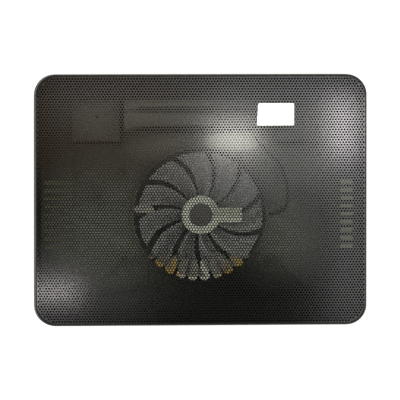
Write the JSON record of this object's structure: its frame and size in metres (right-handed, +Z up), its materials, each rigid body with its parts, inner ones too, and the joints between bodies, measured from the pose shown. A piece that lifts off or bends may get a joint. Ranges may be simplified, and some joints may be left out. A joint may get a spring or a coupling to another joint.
{
  "type": "laptop cooling pad",
  "caption": "Flat laptop cooling pad: a shallow moulded tray with a large central fan under a perforated steel panel, rubber feet and fold-out rear legs.",
  "frame": {"origin": "on the desk, under the middle of the pad's outline", "axes": "+Z up, +Y towards the rear edge with the cable bay and legs, +X to the user's right"},
  "size_m": [0.34, 0.256, 0.0268],
  "materials": {
    "black_abs": "fine-textured black moulded plastic",
    "painted_steel": "black painted perforated sheet",
    "white_badge": "smooth white",
    "smoky_blade": "smoky translucent grey",
    "pale_label": "pale matt label, left bare",
    "bright_steel": "plain bright steel",
    "grey_ferrite": "pressed ferrite",
    "sintered_bronze": "sintered bronze",
    "enamelled_copper": "enamelled copper winding",
    "green_board": "green circuit board",
    "black_rubber": "matt black rubber",
    "black_pvc": "smooth black cable sheath"
  },
  "bodies": {
    "base": {"base_tray": "black_abs", "mesh_panel": "painted_steel", "badge_plate": "white_badge", "bearing_sleeve": "sintered_bronze", "motor_base": "black_abs", "stator_core": "bright_steel", "stator_coil_1": "enamelled_copper", "stator_coil_2": "enamelled_copper", "stator_coil_3": "enamelled_copper", "stator_coil_4": "enamelled_copper", "motor_board": "green_board", "motor_screw_1": "bright_steel", "motor_screw_2": "bright_steel", "motor_screw_3": "bright_steel", "fan_lead": "black_pvc", "cable_gland": "black_rubber", "rubber_foot_front_left": "black_rubber", "rubber_foot_front_right": "black_rubber", "rubber_foot_rear_left": "black_rubber", "rubber_foot_rear_right": "black_rubber"},
    "rotor": {"fan_rotor": "smoky_blade", "hub_label": "pale_label", "rotor_yoke": "bright_steel", "ring_magnet": "grey_ferrite", "rotor_shaft": "bright_steel", "shaft_clip": "bright_steel"},
    "left_leg": {"left_leg": "black_abs", "left_leg_tip": "black_rubber"},
    "right_leg": {"right_leg": "black_abs", "right_leg_tip": "black_rubber"}
  },
  "joints": [
    {"name": "fan_spin", "type": "hinge", "parent": "base", "child": "rotor", "pos_m": [0, -0.0154, 0.012], "axis": [0, 0, 1], "continuous": true},
    {"name": "left_leg_fold", "type": "hinge", "parent": "base", "child": "left_leg", "pos_m": [-0.1054, 0.09571, 0.0063], "axis": [1, 0, 0], "range_deg": [0, 105]},
    {"name": "right_leg_fold", "type": "hinge", "parent": "base", "child": "right_leg", "pos_m": [0.1054, 0.09571, 0.0063], "axis": [1, 0, 0], "range_deg": [0, 105]}
  ]
}
